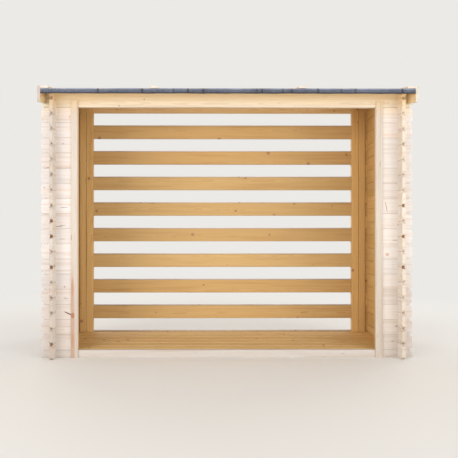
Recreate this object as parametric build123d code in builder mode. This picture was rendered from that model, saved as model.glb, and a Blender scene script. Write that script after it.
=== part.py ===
from build123d import *
from math import atan2, cos, degrees, radians
import os

# Log-cabin style store for firewood: four walls of tongue-and-groove boards that
# interlock at the corners, a wide open front and a roof that falls to the front.
# Front faces -Y, +X is to the right, the ground is Z = 0.
# The origin is on the ground in the middle of the walls. Millimetres.

# Wall boards
board_pitch = 121.0
board_thickness = 28.0
tongue_height = 8.0
tongue_thickness = 8.0
tongue_side_clearance = 0.5
tongue_end_clearance = 1.0
notch_clearance = 0.3
end_chamfer = 22.0
wedge_nose = 12.0

# Plan, measured between the middle planes of the walls
walls_width = 2764.0
walls_depth = 724.0
log_end_length = 87.0
front_rows = 16

# Open front; the return is the stretch from the middle of a side wall to the opening
front_return = 190.0
post_face = 51.0
post_depth = 60.0
post_groove_depth = 22.0
post_groove_clearance = 0.5
post_end_clearance = 1.0
post_top_lap = 48.0

# Open rear wall; the fillers reach this far past the middle of a side wall
filler_reach = 164.0
batten_width = 62.0
batten_thickness = 18.0
batten_gap = 1.0

# Roof
front_overhang = 160.0
rear_overhang = 120.0
side_overhang = 61.0
nominal_roof_board = 111.0
roof_board_thickness = 18.0
roof_tongue = 6.0
roof_tongue_clearance = 0.5
felt_thickness = 4.0
felt_drop = 42.0
eave_lath_width = 28.0
eave_lath_thickness = 12.0
roof_batten_width = 62.0
roof_batten_thickness = 15.0
roof_batten_chamfer = 5.0
roof_batten_offset = 570.0
barge_thickness = 22.0
barge_height = 121.0
barge_clearance = 1.0

# Floor
bearer_width = 45.0
bearer_height = 40.0
bearer_count = 5
slat_width = 95.0
slat_thickness = 18.0
slat_count = 6
floor_clearance = 4.0

# Worked-out sizes
half_pitch = board_pitch / 2
notch_depth = board_pitch / 4
half_thickness = board_thickness / 2
side_wall_x = walls_width / 2
end_wall_y = walls_depth / 2
log_end = half_thickness + log_end_length
board_end_x = side_wall_x + log_end
board_end_y = end_wall_y + log_end
front_face_y = -end_wall_y - half_thickness
front_inner_y = -end_wall_y + half_thickness
rear_inner_y = end_wall_y - half_thickness
sill_height = half_pitch
lintel_bottom = sill_height + front_rows * board_pitch
lintel_top = lintel_bottom + board_pitch
rear_top = lintel_top + board_pitch
side_rows = front_rows + 1
side_top = side_rows * board_pitch
opening_x = side_wall_x - front_return
vent_x = side_wall_x - filler_reach
groove_thickness = tongue_thickness + 2 * tongue_side_clearance
groove_depth = tongue_height + tongue_end_clearance

# The roof rests on the lintel and on the top board of the rear wall, one row higher
roof_slope = (rear_top - lintel_top) / walls_depth
roof_angle = degrees(atan2(rear_top - lintel_top, walls_depth))
roof_front_y = front_face_y - front_overhang
roof_rear_y = end_wall_y + half_thickness + rear_overhang
roof_half_width = side_wall_x + side_overhang
roof_board_count = round(2 * roof_half_width / nominal_roof_board)
roof_board_width = 2 * roof_half_width / roof_board_count
upright = 1 / cos(radians(roof_angle))
tall = 2 * rear_top


def roof_z(y, above=0.0):
    """Height at y of the plane that lies `above` over the underside of the roof boards."""
    return lintel_top + (y - front_inner_y) * roof_slope + above * upright


roof_underside = Plane(
    origin=(0, front_inner_y, lintel_top),
    x_dir=(1, 0, 0),
    z_dir=(0, -(rear_top - lintel_top), walls_depth),
)
barge_drop = barge_height - roof_batten_thickness - felt_thickness - roof_board_thickness

os.makedirs("parts", exist_ok=True)
finished = []


def keep(part, label):
    """Label a finished piece and write it."""
    part.label = label
    export_step(part, f"parts/{label}.step")
    finished.append(part)


def keep_pair(part, label):
    """Write a piece of the left side and its mirror image on the right."""
    with BuildPart() as mirrored:
        mirror(part, about=Plane.YZ)
    keep(part, f"left_{label}")
    keep(mirrored.part, f"right_{label}")


def log_boards(plane, start, end, bottoms, crossings, chamfered, height=board_pitch,
               lower_joint=True, tongue_spans=None):
    """Boards of one wall, one on each height in bottoms: a plank with a groove below, a
    tongue on top between the crossing walls, a half-lap notch above and below at each
    crossing, and corners cut off at the outer ends. The plane's X runs along the wall
    and its Y points up. A board without a lower joint stands flat on the ground."""
    middle = (start + end) / 2
    low = min(crossings) if "start" in chamfered else start
    high = max(crossings) if "end" in chamfered else end
    spans = [(low, high)] if tongue_spans is None else tongue_spans
    notch_width = board_thickness + 2 * notch_clearance
    with BuildPart() as boards:
        with BuildSketch(plane.offset(-half_thickness)) as outline:
            with Locations([(middle, bottom + height / 2) for bottom in bottoms]):
                Rectangle(end - start, height)
            for side in chamfered:
                corners = outline.vertices().group_by(Axis.X)[0 if side == "start" else -1]
                if not lower_joint:
                    corners = corners.sort_by(Axis.Y)[-1]
                chamfer(corners, length=end_chamfer)
            for bottom in bottoms:
                with Locations([(x, bottom + height - notch_depth / 2) for x in crossings]):
                    Rectangle(notch_width, notch_depth, mode=Mode.SUBTRACT)
                if lower_joint:
                    with Locations([(x, bottom + notch_depth / 2) for x in crossings]):
                        Rectangle(notch_width, notch_depth, mode=Mode.SUBTRACT)
        extrude(amount=board_thickness)
        if spans:
            with BuildSketch(plane.offset(-tongue_thickness / 2)):
                for bottom in bottoms:
                    level = bottom + height + tongue_height / 2
                    for left, right in spans:
                        with Locations(((left + right) / 2, level)):
                            Rectangle(right - left, tongue_height)
                    with Locations([(x, level) for x in crossings]):
                        Rectangle(notch_width, tongue_height, mode=Mode.SUBTRACT)
            extrude(amount=tongue_thickness)
        if lower_joint:
            with BuildSketch(plane.offset(-groove_thickness / 2)):
                with Locations([(middle, bottom + groove_depth / 2) for bottom in bottoms]):
                    Rectangle(end - start, groove_depth)
            extrude(amount=groove_thickness, mode=Mode.SUBTRACT)
    return boards.part


def slope_section(front_y, rear_y, low, high):
    """Outline in Y and Z of a piece that follows the roof, with plumb ends, from `low`
    to `high` above the underside of the roof boards."""
    return [
        (front_y, roof_z(front_y, low)),
        (rear_y, roof_z(rear_y, low)),
        (rear_y, roof_z(rear_y, high)),
        (front_y, roof_z(front_y, high)),
    ]


def plumb_end(y, above):
    """Plane of a plumb-cut end at y: X as the model's, and Y upwards from the plane that
    lies `above` over the underside of the roof boards."""
    return Plane(origin=(0, y, roof_z(y, above)), x_dir=(1, 0, 0), z_dir=(0, -1, 0))


def under_roof(board):
    """A top board of an end wall, planed to the slope of the roof and cut back at both
    ends where the barge boards pass."""
    barge_bottom = -barge_drop - barge_clearance
    with BuildPart() as planed:
        add(board)
        split(bisect_by=roof_underside, keep=Keep.BOTTOM)
        for side in (-1, 1):
            with BuildSketch(Plane.YZ.offset(side * (roof_half_width - barge_clearance))):
                with BuildLine():
                    Polyline(*slope_section(roof_front_y, roof_rear_y, barge_bottom, 0),
                             close=True)
                make_face()
            extrude(amount=side * 2 * log_end_length, mode=Mode.SUBTRACT)
    return planed.part


# Side walls, every second board in a piece of its own, and the cut boards above them
wall = Plane(origin=(-side_wall_x, 0, 0), x_dir=(0, 1, 0), z_dir=(1, 0, 0))
both_ends = ("start", "end")
corners = (-end_wall_y, end_wall_y)
for rows, first in (("odd", 0), ("even", 1)):
    bottoms = [row * board_pitch for row in range(first, side_rows, 2)]
    keep_pair(log_boards(wall, -board_end_y, board_end_y, bottoms, corners, both_ends),
              f"wall_{rows}_boards")
with BuildPart() as lower_gable:
    add(log_boards(wall, -board_end_y, board_end_y, [side_top], corners, both_ends))
    split(bisect_by=roof_underside, keep=Keep.BOTTOM)
keep_pair(lower_gable.part, "gable_lower_board")
wedge_bottom = side_top + board_pitch
wedge_start = front_inner_y + (wedge_bottom + wedge_nose - lintel_top) / roof_slope
with BuildPart() as upper_gable:
    add(log_boards(wall, wedge_start, board_end_y, [wedge_bottom], [end_wall_y], ("end",)))
    split(bisect_by=roof_underside, keep=Keep.BOTTOM)
keep_pair(upper_gable.part, "gable_upper_board")

# Front wall: sill, short boards beside the opening and lintel
front = Plane(origin=(0, -end_wall_y, 0), x_dir=(1, 0, 0), z_dir=(0, -1, 0))
return_end = opening_x + post_face - post_groove_depth + post_end_clearance
post_outer = opening_x + post_face
sides = (-side_wall_x, side_wall_x)
keep(log_boards(front, -board_end_x, board_end_x, [0], sides, both_ends,
                height=sill_height, lower_joint=False,
                tongue_spans=[(-side_wall_x, -post_outer), (post_outer, side_wall_x)]),
     "front_sill")
for rows, first in (("odd", 0), ("even", 1)):
    bottoms = [sill_height + row * board_pitch for row in range(first, front_rows, 2)]
    keep_pair(log_boards(front, -board_end_x, -return_end, bottoms, [-side_wall_x],
                         ("start",)),
              f"front_{rows}_boards")
keep(under_roof(log_boards(front, -board_end_x, board_end_x, [lintel_bottom], sides,
                           both_ends, tongue_spans=[])),
     "front_lintel")

# Rear wall: every second board runs through, and short ones fill the corners between
rear = Plane(origin=(0, end_wall_y, 0), x_dir=(1, 0, 0), z_dir=(0, -1, 0))
keep(log_boards(rear, -board_end_x, board_end_x, [0], sides, both_ends,
                height=sill_height, lower_joint=False),
     "rear_sill")
through = [sill_height + row * board_pitch for row in range(1, front_rows, 2)]
keep(log_boards(rear, -board_end_x, board_end_x, through, sides, both_ends),
     "rear_planks")
keep(under_roof(log_boards(rear, -board_end_x, board_end_x, [lintel_top], sides,
                           both_ends, tongue_spans=[])),
     "rear_top_plank")
fillers = [sill_height + row * board_pitch for row in range(0, front_rows + 1, 2)]
keep_pair(log_boards(rear, -board_end_x, -vent_x, fillers, [-side_wall_x], ("start",)),
          "rear_fillers")

# Posts of the opening, forked over the sill below and the lintel above
groove_width = board_thickness + 2 * post_groove_clearance
post_x = -opening_x - post_face / 2
with BuildPart() as post:
    with BuildSketch(Plane.XY):
        with Locations((post_x, -end_wall_y)):
            Rectangle(post_face, post_depth)
        with Locations((post_groove_depth / 2 - post_outer, -end_wall_y)):
            Rectangle(post_groove_depth, groove_width, mode=Mode.SUBTRACT)
    extrude(amount=lintel_bottom + post_top_lap)
    for level, lap in ((0, sill_height), (lintel_bottom, post_top_lap)):
        with BuildSketch(Plane.XY.offset(level)):
            with Locations((post_x, -end_wall_y)):
                Rectangle(post_face, groove_width)
        extrude(amount=lap, mode=Mode.SUBTRACT)
keep_pair(post.part, "post")

# Upright battens inside the rear wall, two beside each end of the vents
for name, offset in (("inner", 0), ("outer", batten_width + batten_gap)):
    batten_x = vent_x + offset + batten_width / 2
    with BuildPart() as battens:
        with BuildSketch(Plane.XY):
            with Locations([(side * batten_x, rear_inner_y - batten_thickness / 2)
                            for side in (-1, 1)]):
                Rectangle(batten_width, batten_thickness)
        extrude(amount=tall)
        split(bisect_by=roof_underside, keep=Keep.BOTTOM)
    keep(battens.part, f"rear_{name}_battens")

# Roof boards, laid from front to rear, every second one in a piece of its own
board_front_y = roof_front_y + felt_thickness
board_rear_y = roof_rear_y - felt_thickness
up_the_roof = (0, walls_depth, rear_top - lintel_top)
plumb_thickness = roof_board_thickness * upright
for rows, first in (("odd", 0), ("even", 1)):
    with BuildPart() as roof_boards:
        with BuildSketch(plumb_end(board_front_y, 0)):
            for number in range(first, roof_board_count, 2):
                left = -roof_half_width + number * roof_board_width
                right = left + roof_board_width
                with Locations(((left + right) / 2, plumb_thickness / 2)):
                    Rectangle(roof_board_width, plumb_thickness)
                if number < roof_board_count - 1:
                    with Locations((right + roof_tongue / 2, plumb_thickness / 2)):
                        Rectangle(roof_tongue, roof_tongue)
                if number > 0:
                    deep = roof_tongue + roof_tongue_clearance
                    wide = roof_tongue + 2 * roof_tongue_clearance
                    with Locations((left + deep / 2, plumb_thickness / 2)):
                        Rectangle(deep, wide, mode=Mode.SUBTRACT)
        extrude(amount=(board_rear_y - board_front_y) * upright, dir=up_the_roof)
    keep(roof_boards.part, f"roof_{rows}_boards")


def slope_piece(centre, width, front_y, rear_y, low, high):
    """A piece that follows the roof, `width` wide about its place in X."""
    with BuildPart() as piece:
        with BuildSketch(Plane.YZ.offset(centre)):
            with BuildLine():
                Polyline(*slope_section(front_y, rear_y, low, high), close=True)
            make_face()
        extrude(amount=width / 2, both=True)
    return piece.part


# Laths under the free edges of the roof boards
roof_width = 2 * roof_half_width
keep(slope_piece(0, roof_width, board_front_y, board_front_y + eave_lath_width,
                 -eave_lath_thickness, 0),
     "front_eave_lath")
keep(slope_piece(0, roof_width, board_rear_y - eave_lath_width, board_rear_y,
                 -eave_lath_thickness, 0),
     "rear_eave_lath")

# Felt over the boards, turned down over both eaves
felt_top = roof_board_thickness + felt_thickness
front_edge = roof_z(roof_front_y, felt_top) - felt_drop
rear_edge = roof_z(roof_rear_y, felt_top) - felt_drop
with BuildPart() as felt:
    with BuildSketch(Plane.YZ):
        with BuildLine():
            Polyline(
                (roof_front_y, front_edge),
                (roof_front_y, roof_z(roof_front_y, felt_top)),
                (roof_rear_y, roof_z(roof_rear_y, felt_top)),
                (roof_rear_y, rear_edge),
                (board_rear_y, rear_edge),
                (board_rear_y, roof_z(board_rear_y, roof_board_thickness)),
                (board_front_y, roof_z(board_front_y, roof_board_thickness)),
                (board_front_y, front_edge),
                close=True,
            )
        make_face()
    extrude(amount=roof_half_width, both=True)
keep(felt.part, "roof_felt")

# Battens on the felt and barge boards along the sides
outer_batten_x = roof_half_width - roof_batten_width / 2
batten_places = [-outer_batten_x, -roof_batten_offset, roof_batten_offset, outer_batten_x]
batten_top = felt_top + roof_batten_thickness
plumb_batten = roof_batten_thickness * upright
with BuildPart() as roof_battens:
    with BuildSketch(plumb_end(roof_front_y, felt_top)) as batten_ends:
        with Locations([(x, plumb_batten / 2) for x in batten_places]):
            Rectangle(roof_batten_width, plumb_batten)
        chamfer(batten_ends.vertices().group_by(Axis.Y)[-1], length=roof_batten_chamfer)
    extrude(amount=(roof_rear_y - roof_front_y) * upright, dir=up_the_roof)
keep(roof_battens.part, "roof_battens")
barge_x = -roof_half_width - barge_thickness / 2
keep_pair(slope_piece(barge_x, barge_thickness, roof_front_y, roof_rear_y, -barge_drop,
                      batten_top),
          "barge_board")

# Slatted floor on bearers that butt against the rear battens
floor_front_y = -end_wall_y + post_depth / 2 + floor_clearance
floor_rear_y = rear_inner_y - batten_thickness
floor_depth = floor_rear_y - floor_front_y
floor_y = (floor_front_y + floor_rear_y) / 2
floor_half_width = side_wall_x - half_thickness - floor_clearance
bearer_spacing = (2 * floor_half_width - bearer_width) / (bearer_count - 1)
with BuildPart() as bearers:
    with BuildSketch(Plane.XY):
        with Locations((0, floor_y)):
            with GridLocations(bearer_spacing, floor_depth, bearer_count, 1):
                Rectangle(bearer_width, floor_depth)
    extrude(amount=bearer_height)
keep(bearers.part, "floor_bearers")
slat_spacing = (floor_depth - slat_width) / (slat_count - 1)
with BuildPart() as slats:
    with BuildSketch(Plane.XY.offset(bearer_height)):
        with Locations((0, floor_y)):
            with GridLocations(2 * floor_half_width, slat_spacing, 1, slat_count):
                Rectangle(2 * floor_half_width, slat_width)
    extrude(amount=slat_thickness)
keep(slats.part, "floor_slats")

for piece in finished:
    print(piece.label, len(piece.solids()), round(piece.volume / 1e6, 3), "litres")
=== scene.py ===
"""Log cabin style firewood store: untreated spruce boards, mineral felt, zinc screws.

Metres, front towards -Y, +X to the right, ground at Z = 0.
"""
import math
from functools import partial
from types import SimpleNamespace

import bpy
import numpy as np
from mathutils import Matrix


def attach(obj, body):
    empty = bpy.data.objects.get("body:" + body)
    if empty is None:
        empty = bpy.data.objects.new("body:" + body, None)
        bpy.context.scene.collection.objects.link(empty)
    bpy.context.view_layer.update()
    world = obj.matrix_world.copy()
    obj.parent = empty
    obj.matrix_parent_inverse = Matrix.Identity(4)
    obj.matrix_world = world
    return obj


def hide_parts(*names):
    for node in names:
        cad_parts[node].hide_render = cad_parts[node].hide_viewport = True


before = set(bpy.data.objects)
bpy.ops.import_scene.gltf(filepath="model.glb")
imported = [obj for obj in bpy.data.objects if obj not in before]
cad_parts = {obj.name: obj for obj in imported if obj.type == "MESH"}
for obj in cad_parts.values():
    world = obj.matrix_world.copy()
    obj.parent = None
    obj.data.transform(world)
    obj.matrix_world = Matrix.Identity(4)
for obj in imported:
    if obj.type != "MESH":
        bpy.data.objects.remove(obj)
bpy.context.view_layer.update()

# Real sizes, in metres
BOARD_PITCH = 0.121
BOARD_THICKNESS = 0.028
SILL_HEIGHT = BOARD_PITCH / 2
WALLS_WIDTH = 2.764
WALLS_DEPTH = 0.724
SIDE_WALL_X = WALLS_WIDTH / 2
END_WALL_Y = WALLS_DEPTH / 2
ROOF_SLOPE = BOARD_PITCH / WALLS_DEPTH
ROOF_ANGLE = math.atan(ROOF_SLOPE)
ROOF_PLANE_Y = -0.348
ROOF_PLANE_Z = 2.1175
ROOF_FRONT_Y = -0.536
ROOF_REAR_Y = 0.496
ROOF_HALF_WIDTH = 1.443
ROOF_BOARD = 0.111
ROOF_BOARD_THICKNESS = 0.018
ROOF_BATTEN_THICKNESS = 0.015
BARGE_THICKNESS = 0.022
REAR_BATTEN_THICKNESS = 0.018
BEARER_HEIGHT = 0.040
SLAT_THICKNESS = 0.018
EDGE_CHAMFER = 0.003
WALL_CHAMFER = 0.0021
ROOF_BATTEN_CHAMFER = 0.0015
JOINT_DEPTH = 0.006

# The photograph: its size, the lens in its pixels, and where the axis of the lens falls
PHOTO_SIZE = 458
LENS_PIXELS = 498
AXIS_PIXEL_X = 200.6
HORIZON_PIXEL_Y = 227.5
CAMERA_PLACE = (-0.2326, -4.356, 1.038)
CAMERA_YAW = math.radians(-0.3)
SENSOR = 36.0


def linear(colour):
    """An sRGB hex colour as linear red, green, blue and alpha."""
    parts = [int(colour[i:i + 2], 16) / 255 for i in (0, 2, 4)]
    parts = [c / 12.92 if c <= 0.04045 else ((c + 0.055) / 1.055) ** 2.4 for c in parts]
    return (*parts, 1.0)


def put(tree, entry, value):
    """Give a node's input a socket to link, an sRGB hex colour or a plain value."""
    if isinstance(value, bpy.types.NodeSocket):
        tree.links.new(value, entry)
    elif entry.type == "RGBA":
        entry.default_value = linear(value)
    else:
        entry.default_value = value


def add_node(tree, kind, *inputs, **settings):
    """Add a node. settings are its own properties, and inputs are what its sockets get, in
    their order, as put takes it; None leaves a socket as it is."""
    node = tree.nodes.new(kind)
    for name, value in settings.items():
        setattr(node, name, value)
    for number, value in enumerate(inputs):
        if value is not None:
            put(tree, node.inputs[number], value)
    return node


def maths(tree, operation, *values):
    """One Math node on sockets or numbers; returns its output."""
    return add_node(tree, "ShaderNodeMath", *values, operation=operation).outputs[0]


def vectors(tree, operation, *values):
    """One Vector Math node on sockets or triples of numbers; returns its output."""
    outputs = add_node(tree, "ShaderNodeVectorMath", *values, operation=operation).outputs
    return outputs[1] if operation == "LENGTH" else outputs[0]


def split(tree, vector):
    """The three parts of a vector."""
    return add_node(tree, "ShaderNodeSeparateXYZ", vector).outputs[:3]


def split_colour(tree, colour):
    """The red, green and blue of a colour."""
    return add_node(tree, "ShaderNodeSeparateColor", colour).outputs[:3]


def join(tree, *parts):
    """A vector made of up to three parts."""
    return add_node(tree, "ShaderNodeCombineXYZ", *parts).outputs[0]


def noise(tree, place, scale, detail=2.0, roughness=0.5):
    """Soft noise, features 1 / scale metres wide; returns its value and its colour."""
    return add_node(tree, "ShaderNodeTexNoise", place, None, scale, detail, roughness).outputs


def chance(tree, place):
    """A random value and a random colour for each place."""
    return add_node(tree, "ShaderNodeTexWhiteNoise", place).outputs


def remap(tree, value, low, high, to_low=0.0, to_high=1.0, shape="LINEAR"):
    """Carry the stretch from low to high over to the one from to_low to to_high, and hold
    its ends; returns the output."""
    return add_node(tree, "ShaderNodeMapRange", value, low, high, to_low, to_high,
                    interpolation_type=shape).outputs[0]


def ease(tree, value, low, high, to_low=0.0, to_high=1.0):
    """As remap, along a smooth S."""
    return remap(tree, value, low, high, to_low, to_high, "SMOOTHSTEP")


def ramp(tree, factor, stops, interpolation="LINEAR"):
    """A colour ramp with (place, hex colour) stops; returns its colour output."""
    node = add_node(tree, "ShaderNodeValToRGB", factor)
    node.color_ramp.interpolation = interpolation
    elements = node.color_ramp.elements
    while len(elements) < len(stops):
        elements.new(0.5)
    for element, (place, colour) in zip(elements, stops):
        element.position = place
        element.color = linear(colour)
    return node.outputs[0]


def mix(tree, factor, a, b, blend="MIX"):
    """Mix two colours, each a socket or a hex value; returns the colour output."""
    unused = [None] * 5
    return add_node(tree, "ShaderNodeMix", factor, *unused, a, b, data_type="RGBA",
                    blend_type=blend).outputs[2]


def bump(tree, height, strength, distance):
    """Relief from a height; returns the normal."""
    return add_node(tree, "ShaderNodeBump", strength, distance, None, height).outputs[0]


def new_material(name):
    """An empty node material with its tree and main shader, linked to the output."""
    material = bpy.data.materials.new(name)
    material.use_nodes = True
    tree = material.node_tree
    tree.nodes.clear()
    shader = add_node(tree, "ShaderNodeBsdfPrincipled")
    add_node(tree, "ShaderNodeOutputMaterial", shader.outputs[0])
    return material, tree, shader


def dress(tree, shader, looks):
    """Give the shader's sockets, by name, what put takes."""
    for name, value in looks.items():
        put(tree, shader.inputs[name], value)


def own_place(tree):
    """Object coordinates: metres in the frame that all pieces share."""
    return add_node(tree, "ShaderNodeTexCoord").outputs[3]


def new_group(name, kind, inputs, outputs):
    """An empty node group and the sockets that it is given; inputs and outputs are
    dictionaries with the kind of each socket."""
    group = bpy.data.node_groups.new(name, kind)
    for way, sockets in (("INPUT", inputs), ("OUTPUT", outputs)):
        for label, sort in sockets.items():
            group.interface.new_socket(label, in_out=way, socket_type="NodeSocket" + sort)
    return group, add_node(group, "NodeGroupInput").outputs


# Spruce, in metres: its growth rings, cells with at most one knot each and fibres, the
# groove in each board's edge, whose hole on the ends is painted as shade, and the shaded
# line between two boards
RING_SPACING = 0.0042
KNOT_CELL = 0.19
SMALLEST_KNOT = 0.0015
FIBRE_WIDTH = 0.0035
GROOVE_HALF_WIDTH = 0.011
GROOVE_DEPTH = 0.013
LINE_EDGE = 0.0034
LINE_CORE = 0.0012


def find_board(group, given):
    """What the group is told of a point, by name, and what follows from it: the rows of
    boards up to it, three random numbers for its board, how far it is from the joint, from
    the middle of the thickness and from a pith that wanders a little along the log."""
    calc = partial(maths, group)
    board = SimpleNamespace(**{entry.name.lower(): entry for entry in given if entry.name})
    along, across, thick = split(group, board.position)
    board.rows = calc("DIVIDE", calc("SUBTRACT", across, board.first), board.pitch)
    row = calc("FLOOR", board.rows)
    picks = split_colour(group, chance(group, join(group, row, board.seed))[1])
    board.shift, board.pith_across, board.pith_deep = picks
    board_middle = calc("MULTIPLY_ADD", calc("ADD", row, 0.5), board.pitch, board.first)
    local = calc("SUBTRACT", across, board_middle)
    length = calc("MULTIPLY_ADD", board.shift, 41.0, along)
    board.knot_place = join(group, length, calc("MULTIPLY_ADD", board.pith_deep, 9.0, local))

    wander_at = join(group, calc("MULTIPLY", length, 1.1), row, board.seed)
    wander = split_colour(group, noise(group, wander_at, 1.0, 1.0)[1])
    board.off_pith_across = calc("ADD", calc("MULTIPLY_ADD", wander[0], 0.05, local),
                                 calc("MULTIPLY_ADD", board.pith_across, 0.09, -0.07))
    from_middle = calc("SUBTRACT", thick, board.middle)
    board.off_pith_deep = calc("ADD", from_middle, calc(
        "MULTIPLY_ADD", wander[1], 0.04, calc("MULTIPLY_ADD", board.pith_deep, 0.06, 0.004)))

    share = calc("FRACT", board.rows)
    nearer = calc("MINIMUM", share, calc("SUBTRACT", 1.0, share))
    board.to_edge = calc("MULTIPLY", nearer, board.pitch)
    board.from_middle = calc("ABSOLUTE", from_middle)
    board.face_only = calc("SUBTRACT", 1.0, board.end)
    return board


def knot_spots(group, board):
    """Knots: spots of random size, one to a cell, with none in most cells. Returns how far a
    point is inside one and on its rim, how far it is from the knot's middle, and how far
    it is pushed away from the pith."""
    calc = partial(maths, group)
    cells = add_node(group, "ShaderNodeTexVoronoi", board.knot_place, None, 1 / KNOT_CELL,
                     voronoi_dimensions="2D").outputs
    size_pick, share_pick = split_colour(group, cells[1])[:2]
    radius = calc("MAXIMUM", calc("MULTIPLY_ADD", size_pick, 0.030, -0.0165), 0.0)
    distance = calc("MULTIPLY", cells[0], KNOT_CELL)
    there = calc("MULTIPLY", calc("GREATER_THAN", radius, SMALLEST_KNOT),
                 calc("LESS_THAN", share_pick, board.knots))
    reach = calc("DIVIDE", distance, calc("MULTIPLY_ADD", radius, 2.4, 0.0005))
    push = calc("EXPONENT", calc("MULTIPLY", calc("POWER", reach, 2.0), -1.0))
    push = calc("MULTIPLY", push, calc("MULTIPLY", radius, there))
    past_knot = calc("SUBTRACT", distance, radius)
    knot = calc("MULTIPLY", ease(group, past_knot, 0.0012, -0.0012), there)
    rim = calc("MULTIPLY", ease(group, calc("ABSOLUTE", past_knot), 0.0030, 0.0004), there)
    return knot, rim, distance, push


def late_wood(group, board, radius):
    """How far a point at this radius from the pith is in the late wood of its growth ring,
    which darkens slowly, ends at once, and is darker in some years than in others."""
    calc = partial(maths, group)
    rings = calc("DIVIDE", radius, RING_SPACING)
    in_ring = calc("FRACT", rings)
    year = calc("ADD", calc("FLOOR", rings), calc("MULTIPLY", board.shift, 97.0))
    year_chance = add_node(group, "ShaderNodeTexWhiteNoise", None, year,
                           noise_dimensions="1D").outputs[0]
    late = calc("MULTIPLY", remap(group, in_ring, 0.35, 0.94, shape="SMOOTHERSTEP"),
                remap(group, in_ring, 0.94, 1.0, 1.0, 0.0))
    return calc("MULTIPLY", late, calc("MULTIPLY_ADD", year_chance, 0.8, 0.35))


def clear_wood(group, board, radius, late):
    """Wood without knots: pale and slightly pink where light has bleached it, honey inside,
    and straw yellow close under the roof, partly unbleached wood and partly the eave's shade
    painted in. The fibres are drawn about twice as coarse as real ones so that they show.
    Returns the colour and the fibres."""
    calc = partial(maths, group)
    pale = mix(group, board.pith_across, "eae6e4", "e6dfda")
    honey = mix(group, board.pith_across, "e2c084", "dbb679")
    # Straw yellow close under the roof: partly unbleached wood, partly the eave's shade painted in
    straw_and_painted_light = mix(group, board.pith_across, "fbe6bd", "f7dfb2")
    ground = mix(group, board.sheltered, mix(group, board.inside, pale, honey), straw_and_painted_light)
    late_colour = mix(group, calc("MAXIMUM", board.inside, board.sheltered), "d9c4b2", "c48f50")
    strength = calc("MULTIPLY_ADD", board.end, 0.1,
                    calc("MULTIPLY_ADD", board.inside, 0.12, 0.24))
    colour = mix(group, calc("MULTIPLY", late, strength), ground, late_colour)

    fibre_at = vectors(group, "MULTIPLY", board.position, (4.0, 1 / FIBRE_WIDTH, 1 / FIBRE_WIDTH))
    fibres = noise(group, fibre_at, 1.0, 3.0, 0.6)[0]
    fibre_tone = ramp(group, fibres, [(0.25, "e6e0d8"), (0.6, "ffffff")])
    colour = mix(group, 0.55, colour, fibre_tone, "MULTIPLY")
    streaks = noise(group, vectors(group, "MULTIPLY", board.position, (1.3, 34.0, 34.0)), 1.0)[0]
    streak_tone = ramp(group, streaks, [(0.3, "f2e8de"), (0.5, "ffffff"), (0.75, "fffaf3")])
    colour = mix(group, 0.75, colour, streak_tone, "MULTIPLY")

    heart = calc("MULTIPLY", ease(group, radius, 0.034, 0.014),
                 calc("MULTIPLY", board.shift, 0.22))
    colour = mix(group, heart, colour, "dfb897")
    tone = remap(group, board.shift, 0.0, 1.0, 0.90, 1.02)
    grey = add_node(group, "ShaderNodeCombineColor", tone, tone, tone).outputs[0]
    colour = mix(group, 1.0, colour, grey, "MULTIPLY")
    end_colour = mix(group, 1.0, colour, "fdf8f0", "MULTIPLY")
    return mix(group, calc("MULTIPLY", board.end, 0.9), colour, end_colour), fibres


def draw_knots(group, board, colour, knot, rim, distance):
    """Colour the knots: a dark rim round brown wood with rings of its own."""
    calc = partial(maths, group)
    own_rings = calc("SINE", calc("MULTIPLY", distance, 2400.0))
    brown = mix(group, calc("MULTIPLY_ADD", own_rings, 0.2, 0.4), "bd9370", "9a6f4a")
    colour = mix(group, calc("MULTIPLY", knot, board.face_only), colour, brown)
    return mix(group, calc("MULTIPLY", calc("MULTIPLY", rim, 0.5), board.face_only), colour,
               "6f4322")


def drying_cracks(group, board, radius):
    """Drying cracks: short hairlines along the grain, and one from the pith on an end."""
    calc = partial(maths, group)
    hairlines = vectors(group, "MULTIPLY", board.position, (5.0, 70.0, 70.0))
    hairlines = remap(group, noise(group, hairlines, 1.0, 1.0)[0], 0.79, 0.81)
    angle = calc("ARCTAN2", board.off_pith_across, board.off_pith_deep)
    angle = calc("SUBTRACT", angle, calc("MULTIPLY_ADD", board.shift, 1.6, -0.8))
    shake = remap(group, calc("MULTIPLY", calc("ABSOLUTE", angle), radius), 0.0010, 0.0003)
    shake = calc("MULTIPLY", calc("MULTIPLY", shake, board.end),
                 calc("GREATER_THAN", board.shift, 0.45))
    return calc("MAXIMUM", calc("MULTIPLY", hairlines, board.face_only), shake)


def draw_joints(group, board, colour, ripple):
    """Colour the joints: shade and dust in the open line between two boards on a face, and
    on an end the groove, painted deep brown as shade where the tongue is short."""
    calc = partial(maths, group)
    line = calc("MULTIPLY", ease(group, board.to_edge, LINE_EDGE, LINE_CORE), board.joint)
    colour = mix(group, calc("MULTIPLY", line, board.face_only), colour,
                 mix(group, board.inside, "8d6d50", "68421f"))
    # The brown in a groove is painted shade in the hole that a short tongue leaves
    short = chance(group, join(group, calc("ROUND", board.rows), board.seed))[0]
    short = remap(group, short, 0.35, 0.8, 0.06, 0.9)
    known = calc("GREATER_THAN", board.gap, -0.5)
    short = add_node(group, "ShaderNodeMix", known, None, short, board.gap).outputs[0]
    groove = calc("MAXIMUM", calc("DIVIDE", board.from_middle, GROOVE_HALF_WIDTH),
                  calc("DIVIDE", board.to_edge, GROOVE_DEPTH))
    groove = calc("MULTIPLY_ADD", ripple, 0.5, calc("ADD", groove, -0.25))
    groove = calc("MULTIPLY", ease(group, groove, 1.15, 0.75), board.end)
    return mix(group, calc("MULTIPLY", groove, short), colour, "925e22")


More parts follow.
